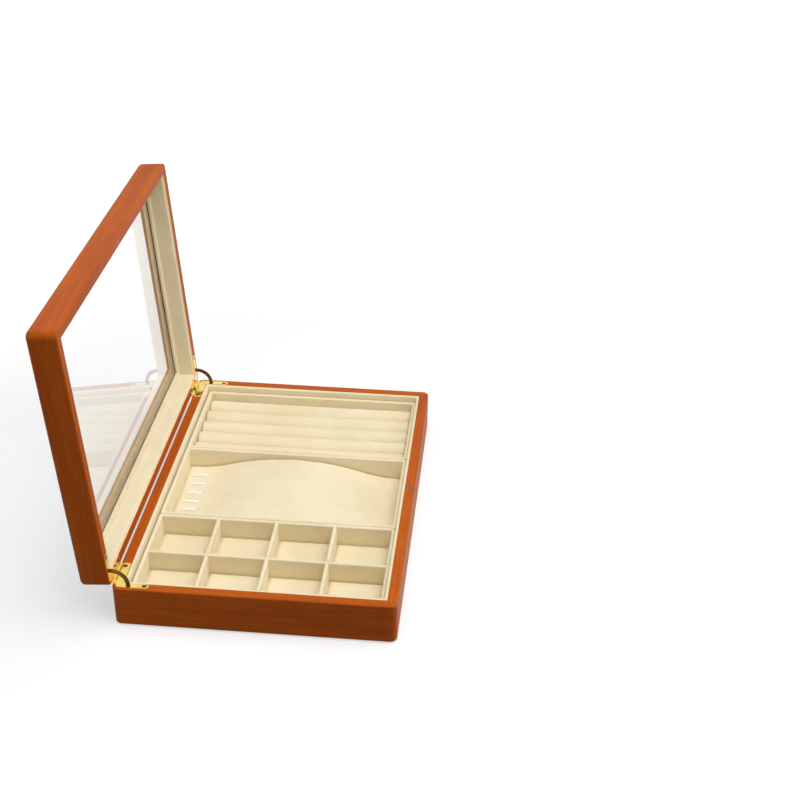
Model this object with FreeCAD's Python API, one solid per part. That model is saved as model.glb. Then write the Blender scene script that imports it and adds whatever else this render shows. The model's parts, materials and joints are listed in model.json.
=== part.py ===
import FreeCAD, Part
import math
import os

Vector = FreeCAD.Vector

# A wooden jewelry box with a hinged glass lid, shown with the lid open at its stop.
# X runs along the hinge, Y from the front to the hinge, Z up.
# The origin is the middle of the footprint on the surface that the box stands on.

# The box as a whole, in millimetres
box_length = 317.0
box_depth = 216.7
base_height = 34.0
lid_height = 23.0
rail_wall = 8.2
rim_gap = 0.4
open_angle = 94.5
lid_roundover = 4.0
corner_margin = 1.5
edge_ease = 1.2
rim_ease = 0.5
cut_overrun = 5.0

# Felt, bottom panel and the covered boards of the base
felt_thickness = 1.0
felt_inset = 3.0
panel_thickness = 6.0
rabbet_depth = 4.0
panel_clearance = 0.2
floor_liner_thickness = 1.8
liner_thickness = 2.4
liner_drop = 0.4
liner_ease = 1.1

# Trays
tray_clearance = 0.6
tray_forward = 0.4
tray_drop = 5.4
tray_wall = 3.2
tray_floor_thickness = 2.2
tray_ease = 1.2
tray_gap = 0.5
tray_corner_radius = 1.6
ring_tray_length = 97.0
necklace_tray_length = 100.8

# Compartments
far_row_share = 0.525
divider_thickness = 3.0
divider_ease = 1.2
divider_drop = 0.3
halving_clearance = 0.05
short_divider_count = 3
floor_pad_thickness = 2.0
floor_pad_ease = 0.7

# Soft pieces
soft_clearance = 0.3
roll_count = 5
roll_gap = 0.3
roll_drop = 4.4
roll_round_share = 0.96
roll_end_ease = 1.6
pad_crest_drop = 3.3
pad_edge_height = 1.4
pad_crown_share = 0.62
pad_edge_ease = 0.9
loop_count = 5
loop_pitch = 12.9
loop_width = 3.6
loop_thickness = 0.6
loop_length = 11.5
loop_inset = 6.2
loop_rise = 1.2
loop_row_shift = 4.8

# Lid frame, pane and the covered boards of the lid
lid_frame_width = 24.5
lid_lip_thickness = 3.0
window_ease = 0.8
glass_thickness = 2.0
glass_clearance = 0.5
lining_thickness = 2.0
lining_drop = 1.3
retainer_width = 5.3
retainer_height = 3.2
retainer_ease = 1.3

# Hinges
leaf_thickness = 1.2
leaf_clearance = 0.1
leaf_back_length = 26.0
leaf_side_length = 28.0
leaf_outer_margin = 2.5
leaf_inner_margin = 0.3
leaf_end_radius = 2.0
leaf_round_share = 0.96
axis_out = 0.3
barrel_radius = 1.7
barrel_clearance = 0.3
barrel_inset = 0.5
knuckle_count = 5
knuckle_gap = 0.25
pin_radius = 0.75
pin_clearance = 0.05
pin_head_radius = 1.2
pin_head_length = 0.4
stay_radius = 12.4
stay_width = 3.0
stay_thickness = 1.0
stay_clearance = 0.3
stay_lap_angle = 6.0
stay_end_angle = 3.0
screw_head_radius = 1.8
screw_head_depth = 1.0
screw_shank_radius = 0.9
screw_length = 7.0
screw_slot_width = 0.5
screw_slot_depth = 0.4
screw_clearance = 0.05
screw_end_inset = 3.6

# Catch
magnet_radius = 2.6
magnet_thickness = 3.0
magnet_clearance = 0.05

# Levels and half sizes that follow from the values above
half_x = box_length / 2
half_y = box_depth / 2
corner_radius = lid_roundover + corner_margin
inner_x = half_x - rail_wall
inner_y = half_y - rail_wall
rim_z = felt_thickness + base_height
liner_z = felt_thickness + panel_thickness
tray_z = liner_z + floor_liner_thickness
tray_floor_z = tray_z + tray_floor_thickness
tray_top_z = rim_z - tray_drop

lined_x = inner_x - liner_thickness
lined_y = inner_y - liner_thickness
tray_half_x = lined_x - tray_clearance
tray_half_y = lined_y - tray_clearance
tray_in_y = tray_half_y - tray_wall
ring_near_x = tray_half_x - ring_tray_length
necklace_far_x = ring_near_x - tray_gap
necklace_near_x = necklace_far_x - necklace_tray_length
grid_far_x = necklace_near_x - tray_gap

axis_y = half_y + axis_out
axis_z = rim_z + rim_gap / 2
lid_rim_z = rim_z + rim_gap
lid_top_z = lid_rim_z + lid_height
lip_z = lid_top_z - lid_lip_thickness
glass_z = lip_z - glass_thickness
window_x = half_x - lid_frame_width
window_y = half_y - lid_frame_width

side_names = ("front", "back", "left", "right")
os.makedirs("parts", exist_ok=True)


def save(name, shape):
    shape.exportStep("parts/" + name + ".step")


def slab(x0, x1, y0, y1, z0, z1):
    return Part.makeBox(x1 - x0, y1 - y0, z1 - z0, Vector(x0, y0, z0))


def rounded_rectangle(x0, x1, y0, y1, radius, z):
    # A closed outline of four lines and four quarter arcs
    turn = radius * (1 - math.sqrt(0.5))
    corners = (
        (x1 - radius, y0, x1 - turn, y0 + turn, x1, y0 + radius),
        (x1, y1 - radius, x1 - turn, y1 - turn, x1 - radius, y1),
        (x0 + radius, y1, x0 + turn, y1 - turn, x0, y1 - radius),
        (x0, y0 + radius, x0 + turn, y0 + turn, x0 + radius, y0),
    )
    edges = []
    last = Vector(corners[3][4], corners[3][5], z)
    for ax, ay, mx, my, bx, by in corners:
        start = Vector(ax, ay, z)
        end = Vector(bx, by, z)
        edges.append(Part.LineSegment(last, start).toShape())
        edges.append(Part.Arc(start, Vector(mx, my, z), end).toShape())
        last = end
    return Part.Wire(edges)


def rounded_block(x0, x1, y0, y1, radius, z0, z1):
    face = Part.Face(rounded_rectangle(x0, x1, y0, y1, radius, z0))
    return face.extrude(Vector(0, 0, z1 - z0))


def edges_at(shape, z, box=None):
    # The level edges at height z, or only those inside or outside a plan rectangle
    found = []
    for edge in shape.Edges:
        low = edge.BoundBox.ZMin
        high = edge.BoundBox.ZMax
        if abs(low - z) > edge_ease / 1000 or abs(high - z) > edge_ease / 1000:
            continue
        middle = edge.valueAt((edge.FirstParameter + edge.LastParameter) / 2)
        if box is not None:
            x0, x1, y0, y1 = box
            if not (x0 < middle.x < x1 and y0 < middle.y < y1):
                continue
        found.append(edge)
    return found


def tapered_opening(x, y, z, ease, up):
    # A flare that eases the edge of a rectangular opening at height z
    far = z + up * cut_overrun
    near = z - up * ease
    grow = cut_overrun + ease
    sections = []
    for level, add in ((near, 0), (far, grow)):
        points = [(-x - add, -y - add), (x + add, -y - add), (x + add, y + add), (-x - add, y + add)]
        points.append(points[0])
        sections.append(Part.makePolygon([Vector(px, py, level) for px, py in points]))
    return Part.makeLoft(sections, True, True)


def mitre_wedge(side, x0, x1, y0, y1, reach, z0, z1):
    # The part of a rectangular frame that belongs to one side, cut at 45 degrees at its ends
    plans = {
        "front": [(x0, y0), (x1, y0), (x1 - reach, y0 + reach), (x0 + reach, y0 + reach)],
        "back": [(x1, y1), (x0, y1), (x0 + reach, y1 - reach), (x1 - reach, y1 - reach)],
        "left": [(x0, y1), (x0, y0), (x0 + reach, y0 + reach), (x0 + reach, y1 - reach)],
        "right": [(x1, y0), (x1, y1), (x1 - reach, y1 - reach), (x1 - reach, y0 + reach)],
    }
    points = [Vector(px, py, z0) for px, py in plans[side]]
    points.append(points[0])
    return Part.Face(Part.makePolygon(points)).extrude(Vector(0, 0, z1 - z0))


def mitred_sides(frame, x0, x1, y0, y1, reach):
    box = frame.BoundBox
    pieces = {}
    for side in side_names:
        wedge = mitre_wedge(side, x0, x1, y0, y1, reach, box.ZMin - cut_overrun, box.ZMax + cut_overrun)
        pieces[side] = frame.common(wedge)
    return pieces


def covered_frame(x0, x1, y0, y1, wall, radius, z0, z1, ease):
    # A frame of covered boards with rounded upper edges
    outer = rounded_block(x0, x1, y0, y1, radius, z0, z1)
    outer = outer.makeFillet(ease, edges_at(outer, z1))
    opening = slab(x0 + wall, x1 - wall, y0 + wall, y1 - wall, z0 - cut_overrun, z1 + cut_overrun)
    frame = outer.cut(opening)
    inside = (x0 + wall / 2, x1 - wall / 2, y0 + wall / 2, y1 - wall / 2)
    return frame.makeFillet(ease, edges_at(frame, z1, inside))


def covered_board(x0, x1, y0, y1, z0, z1, ease):
    # A standing board whose two long upper edges are rounded
    board = slab(x0, x1, y0, y1, z0, z1)
    long_edges = []
    for edge in edges_at(board, z1):
        if edge.Length > min(x1 - x0, y1 - y0) + ease:
            long_edges.append(edge)
    return board.makeFillet(ease, long_edges)


def open_lid(shape):
    turned = shape.copy()
    turned.rotate(Vector(0, axis_y, axis_z), Vector(1, 0, 0), -open_angle)
    return turned


def mirrored_x(shape):
    return shape.mirror(Vector(0, 0, 0), Vector(1, 0, 0))


def mirrored_rim(shape):
    # From the base rim to the lid rim, through the level of the hinge axis
    return shape.mirror(Vector(0, 0, axis_z), Vector(0, 0, 1))


# Hinge on the right, modelled on the base rim
leaf_out_x = half_x - leaf_outer_margin
leaf_in_x = inner_x + leaf_inner_margin
leaf_in_y = inner_y + leaf_inner_margin
turn_x = half_x - corner_radius
turn_y = half_y - corner_radius
barrel_far_x = turn_x - barrel_inset
leaf_back_x = barrel_far_x - leaf_back_length
barrel_near_x = leaf_back_x + barrel_inset
leaf_side_y = half_y - leaf_side_length
stay_x = (leaf_in_x + leaf_out_x) / 2
back_screw = (leaf_back_x + screw_end_inset, (leaf_in_y + half_y) / 2)
side_screw = (stay_x, leaf_side_y + screw_end_inset)


def leaf_plan(grow, back_reach, z0, z1):
    # L-shaped plan: one leg along the back rim, one along the side rim, joined round the corner
    side_radius = ((leaf_out_x - leaf_in_x) / 2 + grow) * leaf_round_share
    back_leg = rounded_block(leaf_back_x - grow, turn_x + grow, leaf_in_y - grow,
                             half_y + leaf_end_radius * 2, leaf_end_radius, z0, z1)
    back_leg = back_leg.common(slab(leaf_back_x - grow, turn_x + grow, leaf_in_y - grow,
                                    half_y + back_reach, z0, z1))
    side_leg = rounded_block(leaf_in_x - grow, leaf_out_x + grow, leaf_side_y - grow,
                             turn_y + side_radius * 2, side_radius, z0, z1)
    side_leg = side_leg.common(slab(leaf_in_x - grow, leaf_out_x + grow, leaf_side_y - grow, turn_y, z0, z1))
    corner = Part.makeCylinder(leaf_out_x - turn_x + grow, z1 - z0, Vector(turn_x, turn_y, z0))
    filler = slab(leaf_in_x - grow, turn_x, turn_y, half_y, z0, z1)
    return back_leg.fuse([side_leg, corner, filler]).removeSplitter()


def screw(x, y, z, grow, above):
    # A countersunk wood screw whose head lies flush with height z
    head_radius = screw_head_radius + grow
    shank_radius = screw_shank_radius + grow
    head = Part.makeCone(shank_radius, head_radius, screw_head_depth, Vector(x, y, z - screw_head_depth))
    shank = Part.makeCylinder(shank_radius, screw_length + grow, Vector(x, y, z - screw_length - grow))
    body = head.fuse(shank)
    if above > 0:
        body = body.fuse(Part.makeCylinder(head_radius, above, Vector(x, y, z)))
    return body.removeSplitter()


def slotted_screw(x, y, z):
    half_slot = screw_slot_width / 2
    slot = slab(x - screw_head_radius, x + screw_head_radius, y - half_slot, y + half_slot,
                z - screw_slot_depth, z + cut_overrun)
    return screw(x, y, z, 0, 0).cut(slot)


def stay_sector(inner, outer, start_angle, end_angle, half_thickness):
    # A flat curved strap about the hinge axis, angles counted up from the base rim
    def at(radius, angle):
        turn = math.radians(angle)
        return Vector(stay_x - half_thickness, axis_y - radius * math.cos(turn),
                      axis_z + radius * math.sin(turn))

    middle = (start_angle + end_angle) / 2
    edges = [
        Part.Arc(at(outer, start_angle), at(outer, middle), at(outer, end_angle)).toShape(),
        Part.LineSegment(at(outer, end_angle), at(inner, end_angle)).toShape(),
        Part.Arc(at(inner, end_angle), at(inner, middle), at(inner, start_angle)).toShape(),
        Part.LineSegment(at(inner, start_angle), at(outer, start_angle)).toShape(),
    ]
    return Part.Face(Part.Wire(edges)).extrude(Vector(half_thickness * 2, 0, 0))


stay_inner = stay_radius - stay_width / 2
stay_outer = stay_radius + stay_width / 2
mortise_angle = open_angle / 2 + stay_lap_angle + stay_end_angle
hinge_stay = stay_sector(stay_inner, stay_outer, -stay_lap_angle, open_angle + stay_lap_angle,
                         stay_thickness / 2)
stay_mortise = stay_sector(stay_inner - stay_clearance, stay_outer + stay_clearance,
                           -mortise_angle, mortise_angle, stay_thickness / 2 + stay_clearance)

knuckle_pitch = (barrel_far_x - barrel_near_x + knuckle_gap) / knuckle_count
groove_near_x = barrel_near_x - pin_head_length - barrel_clearance
groove_far_x = barrel_far_x + pin_head_length + barrel_clearance
barrel_groove = Part.makeCylinder(barrel_radius + barrel_clearance, groove_far_x - groove_near_x,
                                  Vector(groove_near_x, axis_y, axis_z), Vector(1, 0, 0))
pin_bore = Part.makeCylinder(pin_radius + pin_clearance, barrel_far_x - barrel_near_x + cut_overrun * 2,
                             Vector(barrel_near_x - cut_overrun, axis_y, axis_z), Vector(1, 0, 0))


def hinge_leaf(first_knuckle):
    leaf = leaf_plan(0, 0, rim_z - leaf_thickness, rim_z).cut(barrel_groove)
    for index in range(first_knuckle, knuckle_count, 2):
        x0 = barrel_near_x + index * knuckle_pitch
        x1 = x0 + knuckle_pitch - knuckle_gap
        knuckle = Part.makeCylinder(barrel_radius, x1 - x0, Vector(x0, axis_y, axis_z), Vector(1, 0, 0))
        tab = slab(x0, x1, half_y - leaf_end_radius * 2, axis_y, rim_z - leaf_thickness, rim_z)
        leaf = leaf.fuse([knuckle, tab])
    leaf = leaf.cut(pin_bore).cut(stay_mortise)
    for x, y in (back_screw, side_screw):
        leaf = leaf.cut(screw(x, y, rim_z, screw_clearance, cut_overrun))
    return leaf.removeSplitter()


def hinge_cuts():
    # What one leaf, its barrel, its screws and its stay take out of the rim under them
    recess = leaf_plan(leaf_clearance, cut_overrun, rim_z - leaf_thickness, rim_z + cut_overrun)
    cuts = [recess, stay_mortise, barrel_groove]
    for x, y in (back_screw, side_screw):
        cuts.append(screw(x, y, rim_z, screw_clearance, cut_overrun))
    return cuts


right_base_leaf = hinge_leaf(0)
right_lid_leaf = mirrored_rim(hinge_leaf(1))
right_base_cuts = hinge_cuts()
right_lid_cuts = [mirrored_rim(cut) for cut in right_base_cuts]
right_base_screws = [slotted_screw(x, y, rim_z) for x, y in (back_screw, side_screw)]
right_lid_screws = [mirrored_rim(piece) for piece in right_base_screws]
pin_length = barrel_far_x - barrel_near_x
pin_rod = Part.makeCylinder(pin_radius, pin_length, Vector(barrel_near_x, axis_y, axis_z), Vector(1, 0, 0))
pin_heads = []
for head_x in (barrel_near_x - pin_head_length, barrel_far_x):
    pin_heads.append(Part.makeCylinder(pin_head_radius, pin_head_length,
                                       Vector(head_x, axis_y, axis_z), Vector(1, 0, 0)))
right_pin = pin_rod.fuse(pin_heads).removeSplitter()

save("right_hinge_base_leaf", right_base_leaf)
save("left_hinge_base_leaf", mirrored_x(right_base_leaf))
save("right_hinge_lid_leaf", open_lid(right_lid_leaf))
save("left_hinge_lid_leaf", open_lid(mirrored_x(right_lid_leaf)))
save("right_hinge_pin", right_pin)
save("left_hinge_pin", mirrored_x(right_pin))
save("right_hinge_stay", hinge_stay)
save("left_hinge_stay", mirrored_x(hinge_stay))
base_screws = right_base_screws + [mirrored_x(piece) for piece in right_base_screws]
lid_screws = right_lid_screws + [mirrored_x(piece) for piece in right_lid_screws]
save("base_hinge_screws", Part.makeCompound(base_screws))
save("lid_hinge_screws", Part.makeCompound([open_lid(piece) for piece in lid_screws]))

# Catch magnets, one in each front rim
magnet_y = -half_y + rail_wall / 2


def magnet(grow, above):
    return Part.makeCylinder(magnet_radius + grow, magnet_thickness + grow + above,
                             Vector(0, magnet_y, rim_z - magnet_thickness - grow))


base_magnet = magnet(0, 0)
magnet_pocket = magnet(magnet_clearance, cut_overrun)
save("base_magnet", base_magnet)
save("lid_magnet", open_lid(mirrored_rim(base_magnet)))

# Base: four mitred sides rabbeted for the bottom panel
base_frame = rounded_block(-half_x, half_x, -half_y, half_y, corner_radius, felt_thickness, rim_z)
outer_edges = edges_at(base_frame, rim_z) + edges_at(base_frame, felt_thickness)
base_frame = base_frame.makeFillet(edge_ease, outer_edges)
rabbet_x = inner_x + rabbet_depth
rabbet_y = inner_y + rabbet_depth
base_cuts = [
    slab(-inner_x, inner_x, -inner_y, inner_y, felt_thickness, rim_z + cut_overrun),
    tapered_opening(inner_x, inner_y, rim_z, rim_ease, 1),
    slab(-rabbet_x, rabbet_x, -rabbet_y, rabbet_y, 0, liner_z),
    magnet_pocket,
]
base_cuts += right_base_cuts + [mirrored_x(cut) for cut in right_base_cuts]
for cut in base_cuts:
    base_frame = base_frame.cut(cut)
base_sides = mitred_sides(base_frame, -half_x, half_x, -half_y, half_y, rail_wall + edge_ease)
for side in side_names:
    save("base_" + side + "_rail", base_sides[side])

panel_x = rabbet_x - panel_clearance
panel_y = rabbet_y - panel_clearance
save("base_bottom_panel", slab(-panel_x, panel_x, -panel_y, panel_y, felt_thickness, liner_z))
save("base_floor_liner", slab(-inner_x, inner_x, -inner_y, inner_y, liner_z, tray_z))

liner_frame = slab(-inner_x, inner_x, -inner_y, inner_y, tray_z, rim_z - liner_drop)
liner_frame = liner_frame.cut(slab(-lined_x, lined_x, -lined_y, lined_y,
                                   tray_z - cut_overrun, rim_z + cut_overrun))
liner_inside = (-inner_x + liner_thickness / 2, inner_x - liner_thickness / 2,
                -inner_y + liner_thickness / 2, inner_y - liner_thickness / 2)
liner_frame = liner_frame.makeFillet(liner_ease, edges_at(liner_frame, rim_z - liner_drop, liner_inside))
liners = mitred_sides(liner_frame, -inner_x, inner_x, -inner_y, inner_y, liner_thickness * 2)
for side in side_names:
    save("base_" + side + "_liner", liners[side])

felt_x = half_x - felt_inset
felt_y = half_y - felt_inset
save("felt_base", rounded_block(-felt_x, felt_x, -felt_y, felt_y, corner_radius, 0, felt_thickness))

# Lid: mitred L-section frame, modelled closed and saved open
lid_frame = rounded_block(-half_x, half_x, -half_y, half_y, corner_radius, lid_rim_z, lid_top_z)
lid_frame = lid_frame.makeFillet(lid_roundover, edges_at(lid_frame, lid_top_z))
lid_frame = lid_frame.makeFillet(edge_ease, edges_at(lid_frame, lid_rim_z))
lid_cuts = [
    slab(-inner_x, inner_x, -inner_y, inner_y, lid_rim_z - cut_overrun, lip_z),
    slab(-window_x, window_x, -window_y, window_y, lip_z - cut_overrun, lid_top_z + cut_overrun),
    tapered_opening(inner_x, inner_y, lid_rim_z, rim_ease, -1),
    tapered_opening(window_x, window_y, lid_top_z, window_ease, 1),
    mirrored_rim(magnet_pocket),
]
lid_cuts += right_lid_cuts + [mirrored_x(cut) for cut in right_lid_cuts]
for cut in lid_cuts:
    lid_frame = lid_frame.cut(cut)
lid_sides = mitred_sides(lid_frame, -half_x, half_x, -half_y, half_y, lid_frame_width + edge_ease)
for side in side_names:
    save("lid_" + side + "_rail", open_lid(lid_sides[side]))

glass_x = inner_x - glass_clearance
glass_y = inner_y - glass_clearance
save("lid_glass", open_lid(slab(-glass_x, glass_x, -glass_y, glass_y, glass_z, lip_z)))

# Covered boards of the lid stand on the strips that hold the pane
retainer_z = glass_z - retainer_height
lining_z = lid_rim_z + lining_drop


def lid_board_frame(width, z0, z1, ease):
    frame = slab(-inner_x, inner_x, -inner_y, inner_y, z0, z1)
    opening_x = inner_x - width
    opening_y = inner_y - width
    frame = frame.cut(slab(-opening_x, opening_x, -opening_y, opening_y, z0 - cut_overrun, z1 + cut_overrun))
    inside = (-inner_x + width / 2, inner_x - width / 2, -inner_y + width / 2, inner_y - width / 2)
    frame = frame.makeFillet(ease, edges_at(frame, z0, inside))
    return mitred_sides(frame, -inner_x, inner_x, -inner_y, inner_y, width * 2)


linings = lid_board_frame(lining_thickness, lining_z, retainer_z, liner_ease)
retainers = lid_board_frame(retainer_width, retainer_z, glass_z, retainer_ease)
for side in side_names:
    save("lid_" + side + "_lining", open_lid(linings[side]))
    save("lid_" + side + "_retainer", open_lid(retainers[side]))


def save_forward(name, shape):
    # The trays stand a little nearer to the front liner than to the back one
    moved = shape.copy()
    moved.translate(Vector(0, -tray_forward, 0))
    save(name, moved)


def save_tray(name, x0, x1):
    save_forward(name + "_floor", slab(x0, x1, -tray_half_y, tray_half_y, tray_z, tray_floor_z))
    frame = covered_frame(x0, x1, -tray_half_y, tray_half_y, tray_wall, tray_corner_radius,
                          tray_floor_z, tray_top_z, tray_ease)
    walls = mitred_sides(frame, x0, x1, -tray_half_y, tray_half_y, tray_wall * 2)
    for side in side_names:
        save_forward(name + "_" + side + "_wall", walls[side])


# Ring tray: foam rolls side by side along X, each running from front to back
save_tray("ring_tray", ring_near_x, tray_half_x)
ring_in_x = ring_near_x + tray_wall
roll_pitch = (ring_tray_length - tray_wall * 2) / roll_count
roll_width = roll_pitch - roll_gap
roll_height = tray_top_z - roll_drop - tray_floor_z
roll_radius = min(roll_width / 2, roll_height) * roll_round_share
roll_half_y = tray_in_y - soft_clearance


def ring_roll(x0):
    # Flat underneath, straight low sides and a round top, with soft ends
    x1 = x0 + roll_width
    z0 = tray_floor_z
    z1 = z0 + roll_height
    turn = roll_radius * (1 - math.sqrt(0.5))

    def at(x, z):
        return Vector(x, -roll_half_y, z)

    edges = [
        Part.LineSegment(at(x1, z0), at(x0, z0)).toShape(),
        Part.LineSegment(at(x0, z0), at(x0, z1 - roll_radius)).toShape(),
        Part.Arc(at(x0, z1 - roll_radius), at(x0 + turn, z1 - turn), at(x0 + roll_radius, z1)).toShape(),
        Part.LineSegment(at(x0 + roll_radius, z1), at(x1 - roll_radius, z1)).toShape(),
        Part.Arc(at(x1 - roll_radius, z1), at(x1 - turn, z1 - turn), at(x1, z1 - roll_radius)).toShape(),
        Part.LineSegment(at(x1, z1 - roll_radius), at(x1, z0)).toShape(),
    ]
    roll = Part.Face(Part.Wire(edges)).extrude(Vector(0, roll_half_y * 2, 0))
    ends = []
    for edge in roll.Edges:
        level = edge.BoundBox
        if level.YMax - level.YMin < roll_end_ease and level.ZMax > z0 + roll_end_ease:
            ends.append(edge)
    return roll.makeFillet(roll_end_ease, ends)


for index in range(roll_count):
    save_forward("ring_roll_" + str(index + 1), ring_roll(ring_in_x + roll_gap / 2 + index * roll_pitch))

# Grid tray: two rows of compartments between dividers that halve into each other
save_tray("grid_tray", -tray_half_x, grid_far_x)
far_row_x = grid_far_x - tray_wall
tray_near_x = -tray_half_x + tray_wall
far_row_length = (far_row_x - tray_near_x - divider_thickness) * far_row_share
long_divider_x = far_row_x - far_row_length
near_row_x = long_divider_x - divider_thickness
divider_top_z = tray_top_z - divider_drop
halving_z = (tray_floor_z + divider_top_z) / 2

row_pitch = (tray_in_y * 2 + divider_thickness) / (short_divider_count + 1)
first_divider_y = -tray_in_y - divider_thickness + row_pitch
short_divider_y = [first_divider_y + row_pitch * index for index in range(short_divider_count)]
long_divider = covered_board(near_row_x, long_divider_x, -tray_in_y, tray_in_y,
                             tray_floor_z, divider_top_z, divider_ease)
for index, low_y in enumerate(short_divider_y):
    high_y = low_y + divider_thickness
    short_divider = covered_board(tray_near_x, far_row_x, low_y, high_y,
                                  tray_floor_z, divider_top_z, divider_ease)
    short_divider = short_divider.cut(slab(near_row_x - halving_clearance, long_divider_x + halving_clearance,
                                           low_y - cut_overrun, high_y + cut_overrun,
                                           halving_z, divider_top_z + cut_overrun))
    save_forward("grid_short_divider_" + str(index + 1), short_divider)
    long_divider = long_divider.cut(slab(near_row_x - cut_overrun, long_divider_x + cut_overrun,
                                         low_y - halving_clearance, high_y + halving_clearance,
                                         tray_floor_z - cut_overrun, halving_z))
save_forward("grid_long_divider", long_divider)

floor_pads = []
for row_x0, row_x1 in ((tray_near_x, near_row_x), (long_divider_x, far_row_x)):
    for column in range(short_divider_count + 1):
        low_y = -tray_in_y + row_pitch * column
        high_y = low_y + row_pitch - divider_thickness
        pad = slab(row_x0 + soft_clearance, row_x1 - soft_clearance, low_y + soft_clearance,
                   high_y - soft_clearance, tray_floor_z, tray_floor_z + floor_pad_thickness)
        floor_pads.append(pad.makeFillet(floor_pad_ease, edges_at(pad, tray_floor_z + floor_pad_thickness)))
save_forward("grid_floor_pads", Part.makeCompound(floor_pads))

# Necklace tray: a pad that is low at the front and back, with one round crest between
save_tray("necklace_tray", necklace_near_x, necklace_far_x)
pad_near_x = necklace_near_x + tray_wall
pad_far_x = necklace_far_x - tray_wall
pad_half_y = tray_in_y - soft_clearance
pad_edge_z = tray_floor_z + pad_edge_height
pad_rise = tray_top_z - pad_crest_drop - pad_edge_z
pad_slope = 2 * math.atan(pad_rise / pad_half_y)
pad_turn_y = pad_half_y * pad_crown_share
crown_radius = pad_turn_y / math.sin(pad_slope)
foot_curve_radius = (pad_half_y - pad_turn_y) / math.sin(pad_slope)


def pad_top(y):
    reach = abs(y)
    if reach < pad_turn_y:
        return pad_edge_z + pad_rise - crown_radius + math.sqrt(crown_radius ** 2 - reach ** 2)
    return pad_edge_z + foot_curve_radius - math.sqrt(foot_curve_radius ** 2 - (pad_half_y - reach) ** 2)


def pad_point(y):
    return Vector(pad_near_x + soft_clearance, y, pad_top(y))


pad_corner = Vector(pad_near_x + soft_clearance, -pad_half_y, tray_floor_z)
pad_other_corner = Vector(pad_near_x + soft_clearance, pad_half_y, tray_floor_z)
pad_quarter_y = (pad_turn_y + pad_half_y) / 2
pad_edges = [
    Part.LineSegment(pad_other_corner, pad_corner).toShape(),
    Part.LineSegment(pad_corner, pad_point(-pad_half_y)).toShape(),
    Part.Arc(pad_point(-pad_half_y), pad_point(-pad_quarter_y), pad_point(-pad_turn_y)).toShape(),
    Part.Arc(pad_point(-pad_turn_y), pad_point(0), pad_point(pad_turn_y)).toShape(),
    Part.Arc(pad_point(pad_turn_y), pad_point(pad_quarter_y), pad_point(pad_half_y)).toShape(),
    Part.LineSegment(pad_point(pad_half_y), pad_other_corner).toShape(),
]
pad_length = pad_far_x - pad_near_x - soft_clearance * 2
necklace_pad = Part.Face(Part.Wire(pad_edges)).extrude(Vector(pad_length, 0, 0))
pad_top_edges = []
for edge in necklace_pad.Edges:
    if edge.BoundBox.ZMin > tray_floor_z + pad_edge_height / 2 and edge.BoundBox.XLength < pad_edge_ease:
        pad_top_edges.append(edge)
necklace_pad = necklace_pad.makeFillet(pad_edge_ease, pad_top_edges)
save_forward("necklace_pad", necklace_pad)

# Ribbon loops in a row at the low hinge end of the pad
loop_back_y = pad_half_y - loop_inset
loop_front_y = loop_back_y - loop_length


def ribbon_loop(middle_x):
    x0 = middle_x - loop_width / 2
    middle_y = (loop_front_y + loop_back_y) / 2
    crest_z = (pad_top(loop_front_y) + pad_top(loop_back_y)) / 2 + loop_rise

    def at(y, z):
        return Vector(x0, y, z)

    front_z = pad_top(loop_front_y)
    back_z = pad_top(loop_back_y)
    edges = [
        Part.Arc(at(loop_front_y, front_z), at(middle_y, crest_z), at(loop_back_y, back_z)).toShape(),
        Part.LineSegment(at(loop_back_y, back_z), at(loop_back_y, back_z - loop_thickness)).toShape(),
        Part.Arc(at(loop_back_y, back_z - loop_thickness), at(middle_y, crest_z - loop_thickness),
                 at(loop_front_y, front_z - loop_thickness)).toShape(),
        Part.LineSegment(at(loop_front_y, front_z - loop_thickness), at(loop_front_y, front_z)).toShape(),
    ]
    band = Part.Face(Part.Wire(edges)).extrude(Vector(loop_width, 0, 0))
    return band.cut(necklace_pad)


loop_middle_x = (pad_near_x + pad_far_x) / 2 + loop_row_shift
loops = []
for index in range(loop_count):
    loops.append(ribbon_loop(loop_middle_x + (index - (loop_count - 1) / 2) * loop_pitch))
save_forward("necklace_loops", Part.makeCompound(loops))
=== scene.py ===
import bpy
import json
import math
from mathutils import Matrix, Vector


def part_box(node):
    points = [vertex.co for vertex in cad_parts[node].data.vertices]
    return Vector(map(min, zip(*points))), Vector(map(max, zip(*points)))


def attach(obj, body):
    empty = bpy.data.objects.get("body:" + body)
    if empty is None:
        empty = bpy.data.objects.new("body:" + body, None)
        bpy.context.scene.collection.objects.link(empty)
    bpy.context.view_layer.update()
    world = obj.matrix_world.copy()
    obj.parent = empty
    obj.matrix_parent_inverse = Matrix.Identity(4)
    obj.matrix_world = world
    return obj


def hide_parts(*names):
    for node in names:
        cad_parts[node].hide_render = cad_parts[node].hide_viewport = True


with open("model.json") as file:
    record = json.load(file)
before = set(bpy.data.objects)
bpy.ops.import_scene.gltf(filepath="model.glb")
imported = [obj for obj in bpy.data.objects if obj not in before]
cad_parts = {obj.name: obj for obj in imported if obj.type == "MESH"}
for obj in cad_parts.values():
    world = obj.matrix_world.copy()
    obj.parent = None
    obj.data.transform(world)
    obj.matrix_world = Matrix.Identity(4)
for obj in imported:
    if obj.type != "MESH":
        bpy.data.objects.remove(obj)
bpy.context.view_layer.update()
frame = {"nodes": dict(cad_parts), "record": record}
nodes = frame["nodes"]
mm = 0.001
nearby = 1.0 * mm  # corners closer than this count as level with each other
lidTurn = math.radians(94.5)  # how far the lid stands open at rest
lidAxis = Vector(frame["record"]["behaviour"]["joints"][0]["pos_m"])
sideNames = ("front", "back", "left", "right")
print("loaded", len(nodes), "nodes")


# small helpers

def deselectAll():
    if bpy.context.mode != "OBJECT":
        bpy.ops.object.mode_set(mode="OBJECT")
    bpy.ops.object.select_all(action="DESELECT")


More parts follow.
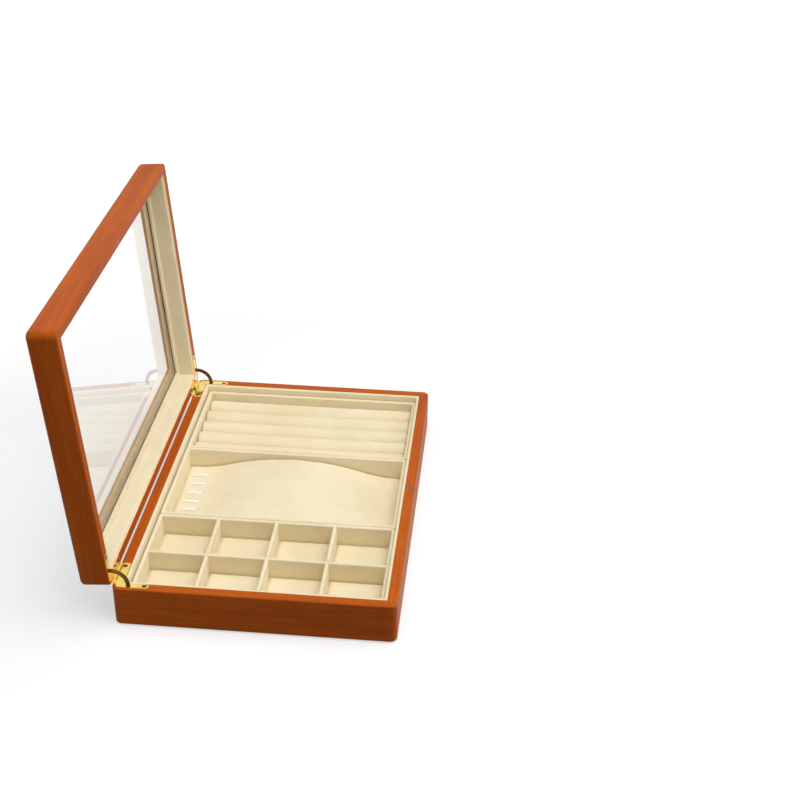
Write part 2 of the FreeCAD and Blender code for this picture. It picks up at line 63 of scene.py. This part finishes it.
def useOnly(piece):
    deselectAll()
    piece.select_set(True)
    bpy.context.view_layer.objects.active = piece


def settle(piece):
    useOnly(piece)
    bpy.ops.object.transform_apply(location=True, rotation=True, scale=True)


def applyAll(piece):
    useOnly(piece)
    for modifier in list(piece.modifiers):
        bpy.ops.object.modifier_apply(modifier=modifier.name)


def pickEdges(piece, wanted):
    # leaves edit mode on, with only the edges selected whose ends satisfy wanted(a, b)
    bpy.ops.object.mode_set(mode="EDIT")
    bpy.ops.mesh.select_mode(type="EDGE")
    bpy.ops.mesh.select_all(action="DESELECT")
    bpy.ops.object.mode_set(mode="OBJECT")
    verts = piece.data.vertices
    for edge in piece.data.edges:
        a, b = (verts[i].co for i in edge.vertices)
        edge.select = wanted(a, b)
    bpy.ops.object.mode_set(mode="EDIT")


# materials

def newMaterial(name):
    mat = bpy.data.materials.new(name)
    mat.use_nodes = True
    mat.node_tree.nodes.clear()
    out = mat.node_tree.nodes.new("ShaderNodeOutputMaterial")
    shader = mat.node_tree.nodes.new("ShaderNodeBsdfPrincipled")
    mat.node_tree.links.new(shader.outputs["BSDF"], out.inputs["Surface"])
    return mat, shader


def addNode(mat, kind, sockets=None, **settings):
    node = mat.node_tree.nodes.new(kind)
    for key, value in settings.items():
        setattr(node, key, value)
    for key, value in (sockets or {}).items():
        node.inputs[key].default_value = value
    return node


def wire(mat, fromSocket, toSocket):
    mat.node_tree.links.new(fromSocket, toSocket)


def objectCoords(mat, turn=0.0, shift=(0, 0, 0), scale=(1, 1, 1)):
    coords = addNode(mat, "ShaderNodeTexCoord")
    lay = addNode(mat, "ShaderNodeMapping", {"Rotation": (turn, 0, 0), "Location": shift})
    stretch = addNode(mat, "ShaderNodeMapping", {"Scale": scale})
    wire(mat, coords.outputs["Object"], lay.inputs["Vector"])
    wire(mat, lay.outputs["Vector"], stretch.inputs["Vector"])
    return stretch.outputs["Vector"]


def noise(mat, vector, scale, detail, rough=0.5):
    tex = addNode(mat, "ShaderNodeTexNoise", {"Scale": scale, "Detail": detail, "Roughness": rough})
    wire(mat, vector, tex.inputs["Vector"])
    return tex.outputs["Fac"]


def ramp(mat, factor, stops):
    stops = list(stops)
    node = addNode(mat, "ShaderNodeValToRGB")
    band = node.color_ramp
    while len(band.elements) < len(stops):
        band.elements.new(0.5)
    for element, (place, color) in zip(band.elements, stops):
        element.position = place
        element.color = (*color, 1)
    wire(mat, factor, node.inputs["Fac"])
    return node.outputs["Color"]


def mixColor(mat, kind, factor, a, b):
    node = addNode(mat, "ShaderNodeMix", data_type="RGBA", blend_type=kind)
    for value, socket in ((factor, node.inputs[0]), (a, node.inputs[6]), (b, node.inputs[7])):
        if isinstance(value, bpy.types.NodeSocket):
            wire(mat, value, socket)
        elif isinstance(value, float):
            socket.default_value = value
        else:
            socket.default_value = (*value, 1)
    return node.outputs[2]


def spread(mat, factor, low, high, fromLow=0.0, fromHigh=1.0):
    node = addNode(mat, "ShaderNodeMapRange", {
        "From Min": fromLow, "From Max": fromHigh, "To Min": low, "To Max": high})
    wire(mat, factor, node.inputs["Value"])
    return node.outputs["Result"]


def bump(mat, shader, height, depth, strength=1.0):
    node = addNode(mat, "ShaderNodeBump", {"Distance": depth, "Strength": strength})
    wire(mat, height, node.inputs["Height"])
    wire(mat, node.outputs["Normal"], shader.inputs["Normal"])


stain = {
    "dark": (0.40, 0.066, 0.0015),
    "middle": (0.50, 0.096, 0.0025),
    "light": (0.60, 0.136, 0.0045),
    "pore": (0.26, 0.038, 0.0010),
    # painted light: pale tone for the lid's lip behind the pane, standing in for light through the glass and
    # the lining's reflection in it
    "lipPaintedLight": (0.97, 0.72, 0.42),
    "figure": (4.0, 62.0),      # turns per metre along and across the grain
    "fibre": (26.0, 900.0),
    "pores": (70.0, 1900.0),
    "figureDetail": (4.0, 0.6),
    "fibreDetail": (3.0, 0.55),
    "poreDetail": (2.0, 0.5),
    "toneStops": (0.28, 0.5, 0.74),
    "streak": ((0.3, (0.62, 0.58, 0.55)), (0.7, (1.14, 1.16, 1.18))),
    "streakShare": 0.6,
    "lipPaintedLightStreakShare": 0.5,
    "poreShare": 0.45,
    "poreStops": (0.6, 0.74),
    "gloss": (0.42, 0.56),
    "specular": 0.14,
    "depth": 0.03 * mm,
    "bumpShare": 0.5,
    "lipHeight": 20.2 * mm,     # from the hinge axis up to the lip that the pane lies against
    "edge": 0.2 * mm,
}


def below(mat, value, limit):
    node = addNode(mat, "ShaderNodeMath", {1: limit}, operation="LESS_THAN")
    wire(mat, value, node.inputs[0])
    return node.outputs[0]


def times(mat, a, b):
    node = addNode(mat, "ShaderNodeMath", operation="MULTIPLY")
    wire(mat, a, node.inputs[0])
    wire(mat, b, node.inputs[1])
    return node.outputs[0]


def shutLid(mat):
    # the place of a point of the lid when the lid is shut
    turned = Matrix.Rotation(lidTurn, 3, "X")
    split = addNode(mat, "ShaderNodeSeparateXYZ")
    wire(mat, objectCoords(mat, lidTurn, lidAxis - turned @ lidAxis), split.inputs[0])
    return split


def insideLid(mat):
    # 1 on the faces that look into the lid's hollow, at the lip behind the pane; these get painted light, a
    # paler tone standing in for light through the glass and the lining reflected in the pane
    split = shutLid(mat)
    near = None
    for socket, limit in (("X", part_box("base_right_liner")[1].x), ("Y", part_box("base_back_liner")[1].y)):
        size = addNode(mat, "ShaderNodeMath", operation="ABSOLUTE")
        wire(mat, split.outputs[socket], size.inputs[0])
        step = below(mat, size.outputs[0], limit + stain["edge"])
        near = step if near is None else times(mat, near, step)
    lip = lidAxis.z + stain["lipHeight"] + stain["edge"]
    return times(mat, near, below(mat, split.outputs["Z"], lip))


def stainedWood(name, alongY, turn, shift):
    mat, shader = newMaterial(name)

    def grain(turns):
        along, across = turns
        scale = (across, along, across) if alongY else (along, across, across)
        return objectCoords(mat, turn, shift, scale)

    figure = noise(mat, grain(stain["figure"]), 1.0, *stain["figureDetail"])
    fibre = noise(mat, grain(stain["fibre"]), 1.0, *stain["fibreDetail"])
    pores = noise(mat, grain(stain["pores"]), 1.0, *stain["poreDetail"])
    tones = (stain["dark"], stain["middle"], stain["light"])
    tone = ramp(mat, figure, zip(stain["toneStops"], tones))
    streak = ramp(mat, fibre, stain["streak"])
    color = mixColor(mat, "MULTIPLY", stain["streakShare"], tone, streak)
    poreMask = spread(mat, pores, 0.0, stain["poreShare"], *stain["poreStops"])
    color = mixColor(mat, "MIX", poreMask, color, stain["pore"])
    if turn:
        # painted light: the lip behind the pane is coloured paler in place of the light and reflection there
        lipPaintedLight = mixColor(mat, "MULTIPLY", stain["lipPaintedLightStreakShare"], stain["lipPaintedLight"], streak)
        color = mixColor(mat, "MIX", insideLid(mat), color, lipPaintedLight)
    wire(mat, color, shader.inputs["Base Color"])
    wire(mat, spread(mat, fibre, *stain["gloss"]), shader.inputs["Roughness"])
    shader.inputs["Specular IOR Level"].default_value = stain["specular"]
    bump(mat, shader, fibre, stain["depth"], stain["bumpShare"])
    return mat


pile = {
    "shade": (0.745, 0.626, 0.388),
    "light": (0.890, 0.785, 0.552),
    # painted shadow: dark brown band on the retainers' pane side, standing in for the shadow in the gap
    # between retainer and glass
    "paneGapShadow": (0.10, 0.05, 0.022),
    "paneHeight": 17.7 * mm,    # from the hinge axis up to the painted shadow line at the pane
    "nap": (24.0, 4.0, 0.6),
    "fibres": (1500.0, 2.0, 0.6),
    "napStops": (0.3, 0.62),
    "fleck": ((0.3, (0.86, 0.85, 0.82)), (0.68, (1.06, 1.06, 1.06))),
    "fleckShare": 0.7,
    "lightShare": 0.55,
    "roughness": 0.95,
    "specular": 0.15,
    "sheen": 0.3,
    "sheenRoughness": 0.35,
    "sheenTint": (1.0, 0.94, 0.8),
    "depth": 0.12 * mm,
    "bumpShare": 0.6,
}


def creamVelvet(name, shift=(0, 0, 0), withPaneShadow=False):
    mat, shader = newMaterial(name)
    place = objectCoords(mat, 0, shift)
    nap = noise(mat, place, *pile["nap"])
    fibres = noise(mat, place, *pile["fibres"])
    tone = ramp(mat, nap, zip(pile["napStops"], (pile["shade"], pile["light"])))
    fleck = ramp(mat, fibres, pile["fleck"])
    color = mixColor(mat, "MULTIPLY", pile["fleckShare"], tone, fleck)
    color = mixColor(mat, "MIX", pile["lightShare"], color, pile["light"])
    # painted shadow along the pane edge of the retainers
    if withPaneShadow:
        cream = below(mat, shutLid(mat).outputs["Z"], lidAxis.z + pile["paneHeight"])
        color = mixColor(mat, "MIX", cream, pile["paneGapShadow"], color)
    wire(mat, color, shader.inputs["Base Color"])
    shader.inputs["Roughness"].default_value = pile["roughness"]
    shader.inputs["Specular IOR Level"].default_value = pile["specular"]
    shader.inputs["Sheen Weight"].default_value = pile["sheen"]
    shader.inputs["Sheen Roughness"].default_value = pile["sheenRoughness"]
    shader.inputs["Sheen Tint"].default_value = (*pile["sheenTint"], 1)
    bump(mat, shader, fibres, pile["depth"], pile["bumpShare"])
    return mat


plate = {
    "bright": ((0.90, 0.60, 0.13), (0.98, 0.76, 0.25)),
    # painted shade: very dark brass tones for the stays and screws, standing in for brass seen in shade and
    # reflecting dark surroundings
    "dark": ((0.09, 0.045, 0.010), (0.17, 0.09, 0.02)),
    "tarnish": (70.0, 3.0, 0.5),
    "tarnishStops": (0.35, 0.65),
    "scratches": (400, 4000, 4000),     # turns per metre along X, Y and Z
    "scratchDetail": 2.0,
    "roughness": (0.09, 0.18),
    "depth": 0.003 * mm,
    "bumpShare": 0.3,
}


def brassPlate(name, colors):
    mat, shader = newMaterial(name)
    tarnish = noise(mat, objectCoords(mat), *plate["tarnish"])
    scratches = noise(mat, objectCoords(mat, scale=plate["scratches"]), 1.0, plate["scratchDetail"])
    wire(mat, ramp(mat, tarnish, zip(plate["tarnishStops"], colors)), shader.inputs["Base Color"])
    wire(mat, spread(mat, scratches, *plate["roughness"]), shader.inputs["Roughness"])
    shader.inputs["Metallic"].default_value = 1.0
    bump(mat, shader, scratches, plate["depth"], plate["bumpShare"])
    return mat


pane = {
    "smear": (9.0, 3.0),
    "tint": ((0.3, (0.985, 0.995, 0.99)), (0.7, (1.0, 1.0, 1.0))),
    "roughness": (0.0, 0.006),
    "roughStops": (0.4, 0.8),
    "ior": 1.5,
}


def clearGlass():
    mat, shader = newMaterial("clear glass")
    smear = noise(mat, objectCoords(mat), *pane["smear"])
    wire(mat, ramp(mat, smear, pane["tint"]), shader.inputs["Base Color"])
    wire(mat, spread(mat, smear, *pane["roughness"], *pane["roughStops"]), shader.inputs["Roughness"])
    shader.inputs["Transmission Weight"].default_value = 1.0
    shader.inputs["IOR"].default_value = pane["ior"]
    return mat


satin = {
    "weft": (300, 5200, 1200),          # turns per metre along X, Y and Z
    "weftDetail": 2.0,
    "tint": ((0.3, (0.80, 0.80, 0.80)), (0.66, (0.96, 0.96, 0.95))),
    "roughness": 0.42,
    "sheen": 0.2,
    "depth": 0.05 * mm,
    "bumpShare": 0.5,
}


def satinRibbon():
    mat, shader = newMaterial("white satin ribbon")
    weft = noise(mat, objectCoords(mat, scale=satin["weft"]), 1.0, satin["weftDetail"])
    wire(mat, ramp(mat, weft, satin["tint"]), shader.inputs["Base Color"])
    shader.inputs["Roughness"].default_value = satin["roughness"]
    shader.inputs["Sheen Weight"].default_value = satin["sheen"]
    bump(mat, shader, weft, satin["depth"], satin["bumpShare"])
    return mat


felt = {
    "fuzz": (900.0, 5.0, 0.7),
    "tint": ((0.3, (0.035, 0.016, 0.009)), (0.7, (0.09, 0.045, 0.026))),
    "sheen": 0.3,
    "depth": 0.3 * mm,
    "bumpShare": 0.7,
}


def pressedFelt():
    mat, shader = newMaterial("brown felt")
    fuzz = noise(mat, objectCoords(mat), *felt["fuzz"])
    wire(mat, ramp(mat, fuzz, felt["tint"]), shader.inputs["Base Color"])
    shader.inputs["Roughness"].default_value = 1.0
    shader.inputs["Sheen Weight"].default_value = felt["sheen"]
    bump(mat, shader, fuzz, felt["depth"], felt["bumpShare"])
    return mat


disc = {
    "grime": (700.0, 4.0, 0.6),
    "tint": ((0.3, (0.20, 0.040, 0.008)), (0.7, (0.36, 0.075, 0.014))),
    "roughness": (0.28, 0.45),
}


def catchDisc():
    mat, shader = newMaterial("lacquered catch disc")
    grime = noise(mat, objectCoords(mat), *disc["grime"])
    wire(mat, ramp(mat, grime, disc["tint"]), shader.inputs["Base Color"])
    wire(mat, spread(mat, grime, *disc["roughness"]), shader.inputs["Roughness"])
    return mat


def dress(nodeName, mat):
    slots = nodes[nodeName].data.materials
    slots.clear()
    slots.append(mat)


velvet = creamVelvet("cream velvet")
softVelvet = creamVelvet("cream velvet over foam", (0.31, 0.17, 0.05))
paneShadowVelvet = creamVelvet("cream velvet with painted pane shadow", (0.1, 0.4, 0.2), True)
brass = brassPlate("polished brass", plate["bright"])
# painted shade: the stays and screws get brass darkened to look as if in shade
shadedBrass = brassPlate("brass with painted shade", plate["dark"])
for place, turn in (("base", 0.0), ("lid", lidTurn)):
    for number, side in enumerate(sideNames):
        shift = (0.37 * number + turn, 0.23 * number, 0.11 * number + turn)
        alongY = side in ("left", "right")
        dress(f"{place}_{side}_rail", stainedWood(f"{place} {side} stained wood", alongY, turn, shift))
dress("base_bottom_panel", stainedWood("bottom board", False, 0.0, (2.1, 1.3, 0.4)))
for side in sideNames:
    for name in (f"base_{side}_liner", f"lid_{side}_lining", f"ring_tray_{side}_wall",
                 f"necklace_tray_{side}_wall", f"grid_tray_{side}_wall"):
        dress(name, velvet)
    dress(f"lid_{side}_retainer", paneShadowVelvet)
for name in ("base_floor_liner", "ring_tray_floor", "necklace_tray_floor", "grid_tray_floor",
             "grid_long_divider", "grid_short_divider_1", "grid_short_divider_2", "grid_short_divider_3"):
    dress(name, velvet)
for hand in ("left", "right"):
    for name in ("hinge_base_leaf", "hinge_lid_leaf", "hinge_pin"):
        dress(f"{hand}_{name}", brass)
    dress(f"{hand}_hinge_stay", shadedBrass)
dress("base_hinge_screws", shadedBrass)
dress("lid_hinge_screws", shadedBrass)
dress("lid_glass", clearGlass())
dress("felt_base", pressedFelt())
catchLook = catchDisc()
dress("base_magnet", catchLook)
dress("lid_magnet", catchLook)
print("materials on the rigid pieces")


# foam pieces

swell = {
    "enlarge": 10.0,
    "frames": 20,
    "pressure": 4.0,
    "evenPasses": 2,
}


def swellCover(piece, voxel, cap, seat):
    # lets the cover swell over its foam; worked at ten times size, where the cloth solver is steady
    useOnly(piece)
    big = swell["enlarge"]
    piece.data.transform(Matrix.Scale(big, 4))
    remesh = piece.modifiers.new("cover", "REMESH")
    remesh.mode = "VOXEL"
    remesh.voxel_size = voxel * big
    bpy.ops.object.modifier_apply(modifier=remesh.name)
    start = [v.co.copy() for v in piece.data.vertices]
    held = piece.vertex_groups.new(name="seat")
    held.add([i for i, co in enumerate(start) if co.z < seat * big], 1.0, "REPLACE")
    cloth = piece.modifiers.new("swell", "CLOTH")
    cloth.settings.use_pressure = True
    cloth.settings.uniform_pressure_force = swell["pressure"]
    cloth.settings.vertex_group_mass = held.name
    cloth.settings.effector_weights.gravity = 0
    cloth.point_cache.frame_end = swell["frames"]
    scene = bpy.context.scene
    for number in range(1, swell["frames"] + 1):
        scene.frame_set(number)
    bpy.ops.object.modifier_apply(modifier=cloth.name)
    scene.frame_set(1)
    for vert, was in zip(piece.data.vertices, start):
        moved = vert.co - was
        if moved.length > cap * big:
            vert.co = was + moved * (cap * big / moved.length)
    piece.vertex_groups.clear()
    piece.data.transform(Matrix.Scale(1 / big, 4))


def softFinish(piece, mat, levels=1):
    useOnly(piece)
    smooth = piece.modifiers.new("even", "SMOOTH")
    smooth.iterations = swell["evenPasses"]
    if levels:
        fine = piece.modifiers.new("fine", "SUBSURF")
        fine.levels = levels
        fine.render_levels = levels
    applyAll(piece)
    bpy.ops.object.shade_smooth()
    piece.data.materials.clear()
    piece.data.materials.append(mat)


roll = {
    "count": 5,
    "inset": 0.25 * mm,      # room left for the swelling
    "round": 8.2 * mm,
    "steps": 10,
    "endRound": 0.8 * mm,
    "endSteps": 3,
    "footHeight": 2.0 * mm,  # the ends stay square below this
    "voxel": 1.3 * mm,
    "cap": 0.4 * mm,
    "seat": 1.2 * mm,
}


def makeRoll():
    low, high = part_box("ring_roll_1")
    size = high - low - Vector((2, 2, 1)) * roll["inset"]
    middle = (low + high) / 2
    deselectAll()
    bpy.ops.mesh.primitive_cube_add(size=1, location=(middle.x, middle.y, low.z + size.z / 2))
    piece = bpy.context.active_object
    piece.scale = size
    settle(piece)
    topZ = low.z + size.z
    pickEdges(piece, lambda a, b: min(a.z, b.z) > topZ - nearby and abs(a.y - b.y) > nearby)
    bpy.ops.mesh.bevel(offset=roll["round"], segments=roll["steps"], affect="EDGES")
    bpy.ops.object.mode_set(mode="OBJECT")
    endY = size.y / 2 - nearby
    pickEdges(piece, lambda a, b: abs(a.y - middle.y) > endY and abs(a.y - b.y) < nearby
              and max(a.z, b.z) > low.z + roll["footHeight"])
    bpy.ops.mesh.bevel(offset=roll["endRound"], segments=roll["endSteps"], affect="EDGES")
    bpy.ops.object.mode_set(mode="OBJECT")
    swellCover(piece, roll["voxel"], roll["cap"], low.z + roll["seat"])
    softFinish(piece, softVelvet)
    return piece


def placeRolls():
    first = makeRoll()
    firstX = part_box("ring_roll_1")[0].x
    rolls = [first]
    for number in range(2, roll["count"] + 1):
        twin = first.copy()
        twin.data = first.data.copy()
        bpy.context.collection.objects.link(twin)
        twin.data.transform(Matrix.Translation((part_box(f"ring_roll_{number}")[0].x - firstX, 0, 0)))
        rolls.append(twin)
    for number, piece in enumerate(rolls, 1):
        piece.name = f"velvet_ring_roll_{number}"
        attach(piece, "ring_tray")
        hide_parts(f"ring_roll_{number}")


placeRolls()
print("ring rolls")

pad = {
    "inset": 0.3 * mm,      # room left for the swelling
    "edgeHeight": 1.4 * mm,
    "crownShare": 0.62,
    "cuts": 48,
    "edgeRound": 0.7 * mm,
    "edgeSteps": 3,
    "voxel": 1.35 * mm,
    "cap": 0.3 * mm,
    "seat": 0.6 * mm,
}


def padTop(y, halfY, rise):
    # height over the low ends: one round crest running out into two hollow feet
    slope = 2 * math.atan(rise / halfY)
    turnY = halfY * pad["crownShare"]
    reach = abs(y)
    if reach < turnY:
        radius = turnY / math.sin(slope)
        return rise - radius + math.sqrt(radius ** 2 - reach ** 2)
    radius = (halfY - turnY) / math.sin(slope)
    return radius - math.sqrt(max(radius ** 2 - (halfY - reach) ** 2, 0))


def makePad():
    low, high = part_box("necklace_pad")
    size = high - low - Vector((2, 2, 1)) * pad["inset"]
    middle = (low + high) / 2
    rise = size.z - pad["edgeHeight"]
    deselectAll()
    bpy.ops.mesh.primitive_cube_add(size=1, location=(middle.x, middle.y, low.z + size.z / 2))
    piece = bpy.context.active_object
    piece.scale = size
    settle(piece)
    pickEdges(piece, lambda a, b: abs(a.y - b.y) > nearby)
    bpy.ops.mesh.subdivide(number_cuts=pad["cuts"])
    bpy.ops.object.mode_set(mode="OBJECT")
    for vert in piece.data.vertices:
        if vert.co.z > low.z + nearby:
            vert.co.z = low.z + pad["edgeHeight"] + padTop(vert.co.y - middle.y, size.y / 2, rise)
    endX = size.x / 2 - nearby
    pickEdges(piece, lambda a, b: min(a.z, b.z) > low.z + nearby and abs(a.x - b.x) < nearby
              and abs(a.x - middle.x) > endX)
    bpy.ops.mesh.bevel(offset=pad["edgeRound"], segments=pad["edgeSteps"], affect="EDGES")
    bpy.ops.object.mode_set(mode="OBJECT")
    swellCover(piece, pad["voxel"], pad["cap"], low.z + pad["seat"])
    softFinish(piece, softVelvet)
    piece.name = "velvet_necklace_pad"
    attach(piece, "necklace_tray")
    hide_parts("necklace_pad")


makePad()
print("necklace pad")

floorPad = {
    "clear": 0.5 * mm,      # from the walls of its cell
    "round": 0.9 * mm,
    "steps": 3,
    "voxel": 0.95 * mm,
    "cap": 0.35 * mm,
    "crown": 0.35 * mm,     # room left under the top of the space for the swelling
    "seat": 0.5 * mm,
    "topBand": 0.1 * mm,    # edges this near the top are the upper rim
}


def cellRows():
    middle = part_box("grid_long_divider")
    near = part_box("grid_tray_left_wall")[1].x
    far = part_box("grid_tray_right_wall")[0].x
    return (near, middle[0].x), (middle[1].x, far)


def cellColumns():
    edges = [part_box("grid_tray_front_wall")[1].y]
    for number in (1, 2, 3):
        edges += [corner.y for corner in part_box(f"grid_short_divider_{number}")]
    edges.append(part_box("grid_tray_back_wall")[0].y)
    return list(zip(edges[0::2], edges[1::2]))


def makeFloorPad(row, column, low, high):
    clear = floorPad["clear"]
    height = high - low - floorPad["crown"]
    size = Vector((row[1] - row[0] - 2 * clear, column[1] - column[0] - 2 * clear, height))
    deselectAll()
    bpy.ops.mesh.primitive_cube_add(size=1, location=(sum(row) / 2, sum(column) / 2, low + size.z / 2))
    piece = bpy.context.active_object
    piece.scale = size
    settle(piece)
    topZ = low + size.z - floorPad["topBand"]
    pickEdges(piece, lambda a, b: min(a.z, b.z) > topZ)
    bpy.ops.mesh.bevel(offset=floorPad["round"], segments=floorPad["steps"], affect="EDGES")
    bpy.ops.object.mode_set(mode="OBJECT")
    swellCover(piece, floorPad["voxel"], floorPad["cap"], low + floorPad["seat"])
    return piece


def placeFloorPads():
    low, high = (corner.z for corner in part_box("grid_floor_pads"))
    columns = cellColumns()
    pads = []
    for row in cellRows():
        first = makeFloorPad(row, columns[0], low, high)
        pads.append(first)
        for column in columns[1:]:
            twin = first.copy()
            twin.data = first.data.copy()
            bpy.context.collection.objects.link(twin)
            twin.data.transform(Matrix.Translation((0, column[0] - columns[0][0], 0)))
            pads.append(twin)
    useOnly(pads[0])
    for twin in pads[1:]:
        twin.select_set(True)
    bpy.ops.object.join()
    piece = pads[0]
    softFinish(piece, softVelvet, levels=0)
    piece.name = "velvet_floor_pads"
    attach(piece, "grid_tray")
    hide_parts("grid_floor_pads")


placeFloorPads()
print("compartment floor pads")

ribbon = {
    "count": 5,
    "width": 3.6 * mm,
    "thickness": 0.5 * mm,
    "edge": 0.12 * mm,
    "edgeSteps": 2,
    "creaseAngle": math.radians(40),
    "cuts": 14,
    "slackShare": 0.6,      # of the room over the sewn ends that the strap rises into
    "flatness": 6,          # power of the strap's rise; higher lies flatter between its ends
    "tail": 1.2 * mm,       # sewn down at each end
    "lift": 0.15 * mm,      # of the sewn ends above the pad's cover
    "leans": (0.4, -0.3, -2.0, -2.4, 0.5),  # in millimetres, how far each front end lies off the line
}


def makeRibbon(middleX, frontY, backY, frontZ, backZ, rise):
    deselectAll()
    bpy.ops.mesh.primitive_plane_add(size=1, location=(middleX, (frontY + backY) / 2, 0))
    piece = bpy.context.active_object
    piece.scale = (ribbon["width"], backY - frontY, 1)
    settle(piece)
    pickEdges(piece, lambda a, b: abs(a.y - b.y) > nearby)
    bpy.ops.mesh.subdivide(number_cuts=ribbon["cuts"])
    bpy.ops.object.mode_set(mode="OBJECT")
    for vert in piece.data.vertices:
        share = (vert.co.y - frontY) / (backY - frontY)
        arch = 1 - (2 * share - 1) ** ribbon["flatness"]
        vert.co.z = frontZ + (backZ - frontZ) * share + rise * arch
    thick = piece.modifiers.new("thickness", "SOLIDIFY")
    thick.thickness = ribbon["thickness"]
    thick.offset = -1
    soft = piece.modifiers.new("edge", "BEVEL")
    soft.width = ribbon["edge"]
    soft.segments = ribbon["edgeSteps"]
    applyAll(piece)
    bpy.ops.object.shade_smooth_by_angle(angle=ribbon["creaseAngle"])
    return piece


def placeRibbons():
    low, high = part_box("necklace_loops")
    padLow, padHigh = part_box("necklace_pad")
    middleY = (padLow.y + padHigh.y) / 2
    halfY = (padHigh.y - padLow.y) / 2
    rise = padHigh.z - padLow.z - pad["edgeHeight"]
    foot = padLow.z + pad["edgeHeight"] + ribbon["lift"]
    frontY = low.y - ribbon["tail"]
    backY = high.y + ribbon["tail"]
    frontZ = foot + padTop(frontY - middleY, halfY, rise)
    backZ = foot + padTop(backY - middleY, halfY, rise)
    crest = (high.z - (frontZ + backZ) / 2) * ribbon["slackShare"]
    pitch = (high.x - low.x - ribbon["width"]) / (ribbon["count"] - 1)
    first = makeRibbon(low.x + ribbon["width"] / 2, frontY, backY, frontZ, backZ, crest)
    first.data.materials.append(satinRibbon())
    bands = [first]
    for number in range(1, ribbon["count"]):
        twin = first.copy()
        twin.data = first.data.copy()
        bpy.context.collection.objects.link(twin)
        twin.data.transform(Matrix.Translation((pitch * number, 0, 0)))
        bands.append(twin)
    for band, lean in zip(bands, reversed(ribbon["leans"])):
        for vert in band.data.vertices:
            vert.co.x += lean * mm * (backY - vert.co.y) / (backY - frontY)
    useOnly(first)
    for twin in bands[1:]:
        twin.select_set(True)
    bpy.ops.object.join()
    first.name = "necklace_ribbons"
    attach(first, "necklace_tray")
    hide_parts("necklace_loops")


placeRibbons()
print("ribbon loops")


# camera, light and floor

shot = {
    "place": (-980.3 * mm, -177.15 * mm, 707.1 * mm),
    "forward": (0.8555, 0.0717, -0.5128),
    "roll": math.radians(0.80),
    "lens": 63.86,
    "sensor": 36.0,
}


def makeCamera():
    data = bpy.data.cameras.new("camera")
    data.lens = shot["lens"]
    data.sensor_width = shot["sensor"]
    camera = bpy.data.objects.new("camera", data)
    bpy.context.collection.objects.link(camera)
    aim = Vector(shot["forward"]).to_track_quat("-Z", "Y")
    turned = aim.to_matrix().to_4x4() @ Matrix.Rotation(shot["roll"], 4, "Z")
    camera.matrix_world = Matrix.Translation(shot["place"]) @ turned
    bpy.context.scene.camera = camera


studio = {
    "ambient": 0.3,
    "key": {"place": (-0.2, -0.35, 1.45), "size": 1.4, "watts": 18.0},
    "side": {"place": (0.1, -1.5, 0.7), "size": 1.0, "watts": 6.0},
}
floorLook = {
    "size": 12.0,
    "seen": 0.48,           # albedo that the camera sees
    "bounce": 0.14,         # albedo that lights the box from below
    "glow": (0.56, 1.0),    # near the box and far from it
    "fade": (0.35, 1.0),    # metres from the middle, where the glow starts and ends its change
    "roughness": 0.9,
    "specular": 0.1,
}


def makeLamp(name):
    look = studio[name]
    data = bpy.data.lights.new(name, "AREA")
    data.energy = look["watts"]
    data.size = look["size"]
    lamp = bpy.data.objects.new(name, data)
    bpy.context.collection.objects.link(lamp)
    place = Vector(look["place"])
    lamp.location = place
    lamp.rotation_euler = (-place).to_track_quat("-Z", "Y").to_euler()


def seenDirectly(tree):
    # 1 where the camera, a mirror or the glass looks at the background
    path = tree.nodes.new("ShaderNodeLightPath")
    total = None
    for ray in ("Is Camera Ray", "Is Glossy Ray", "Is Transmission Ray"):
        if total is None:
            total = path.outputs[ray]
            continue
        joined = tree.nodes.new("ShaderNodeMath")
        joined.operation = "MAXIMUM"
        tree.links.new(total, joined.inputs[0])
        tree.links.new(path.outputs[ray], joined.inputs[1])
        total = joined.outputs[0]
    return total


def makeWorld():
    world = bpy.data.worlds.new("studio")
    world.use_nodes = True
    bpy.context.scene.world = world
    tree = world.node_tree
    back = tree.nodes["Background"]
    back.inputs["Color"].default_value = (1, 1, 1, 1)
    level = tree.nodes.new("ShaderNodeMapRange")
    level.inputs["To Min"].default_value = studio["ambient"]
    level.inputs["To Max"].default_value = 1.0
    tree.links.new(seenDirectly(tree), level.inputs["Value"])
    tree.links.new(level.outputs["Result"], back.inputs["Strength"])


def makeFloor():
    deselectAll()
    bpy.ops.mesh.primitive_plane_add(size=floorLook["size"], location=(0, 0, 0))
    floor = bpy.context.active_object
    floor.name = "floor"
    mat, shader = newMaterial("pale floor")
    seen = seenDirectly(mat.node_tree)
    shade = addNode(mat, "ShaderNodeMapRange", {"To Min": floorLook["bounce"], "To Max": floorLook["seen"]})
    wire(mat, seen, shade.inputs["Value"])
    wire(mat, shade.outputs["Result"], shader.inputs["Base Color"])
    shader.inputs["Roughness"].default_value = floorLook["roughness"]
    shader.inputs["Specular IOR Level"].default_value = floorLook["specular"]
    shader.inputs["Emission Color"].default_value = (1, 1, 1, 1)
    reach = addNode(mat, "ShaderNodeVectorMath", operation="LENGTH")
    wire(mat, addNode(mat, "ShaderNodeTexCoord").outputs["Object"], reach.inputs[0])
    glow = spread(mat, reach.outputs["Value"], *floorLook["glow"], *floorLook["fade"])
    wire(mat, times(mat, seen, glow), shader.inputs["Emission Strength"])
    floor.data.materials.append(mat)


makeCamera()
makeWorld()
makeLamp("key")
makeLamp("side")
makeFloor()
bpy.context.scene.view_settings.view_transform = "Standard"
print("camera, light and floor")

deselectAll()
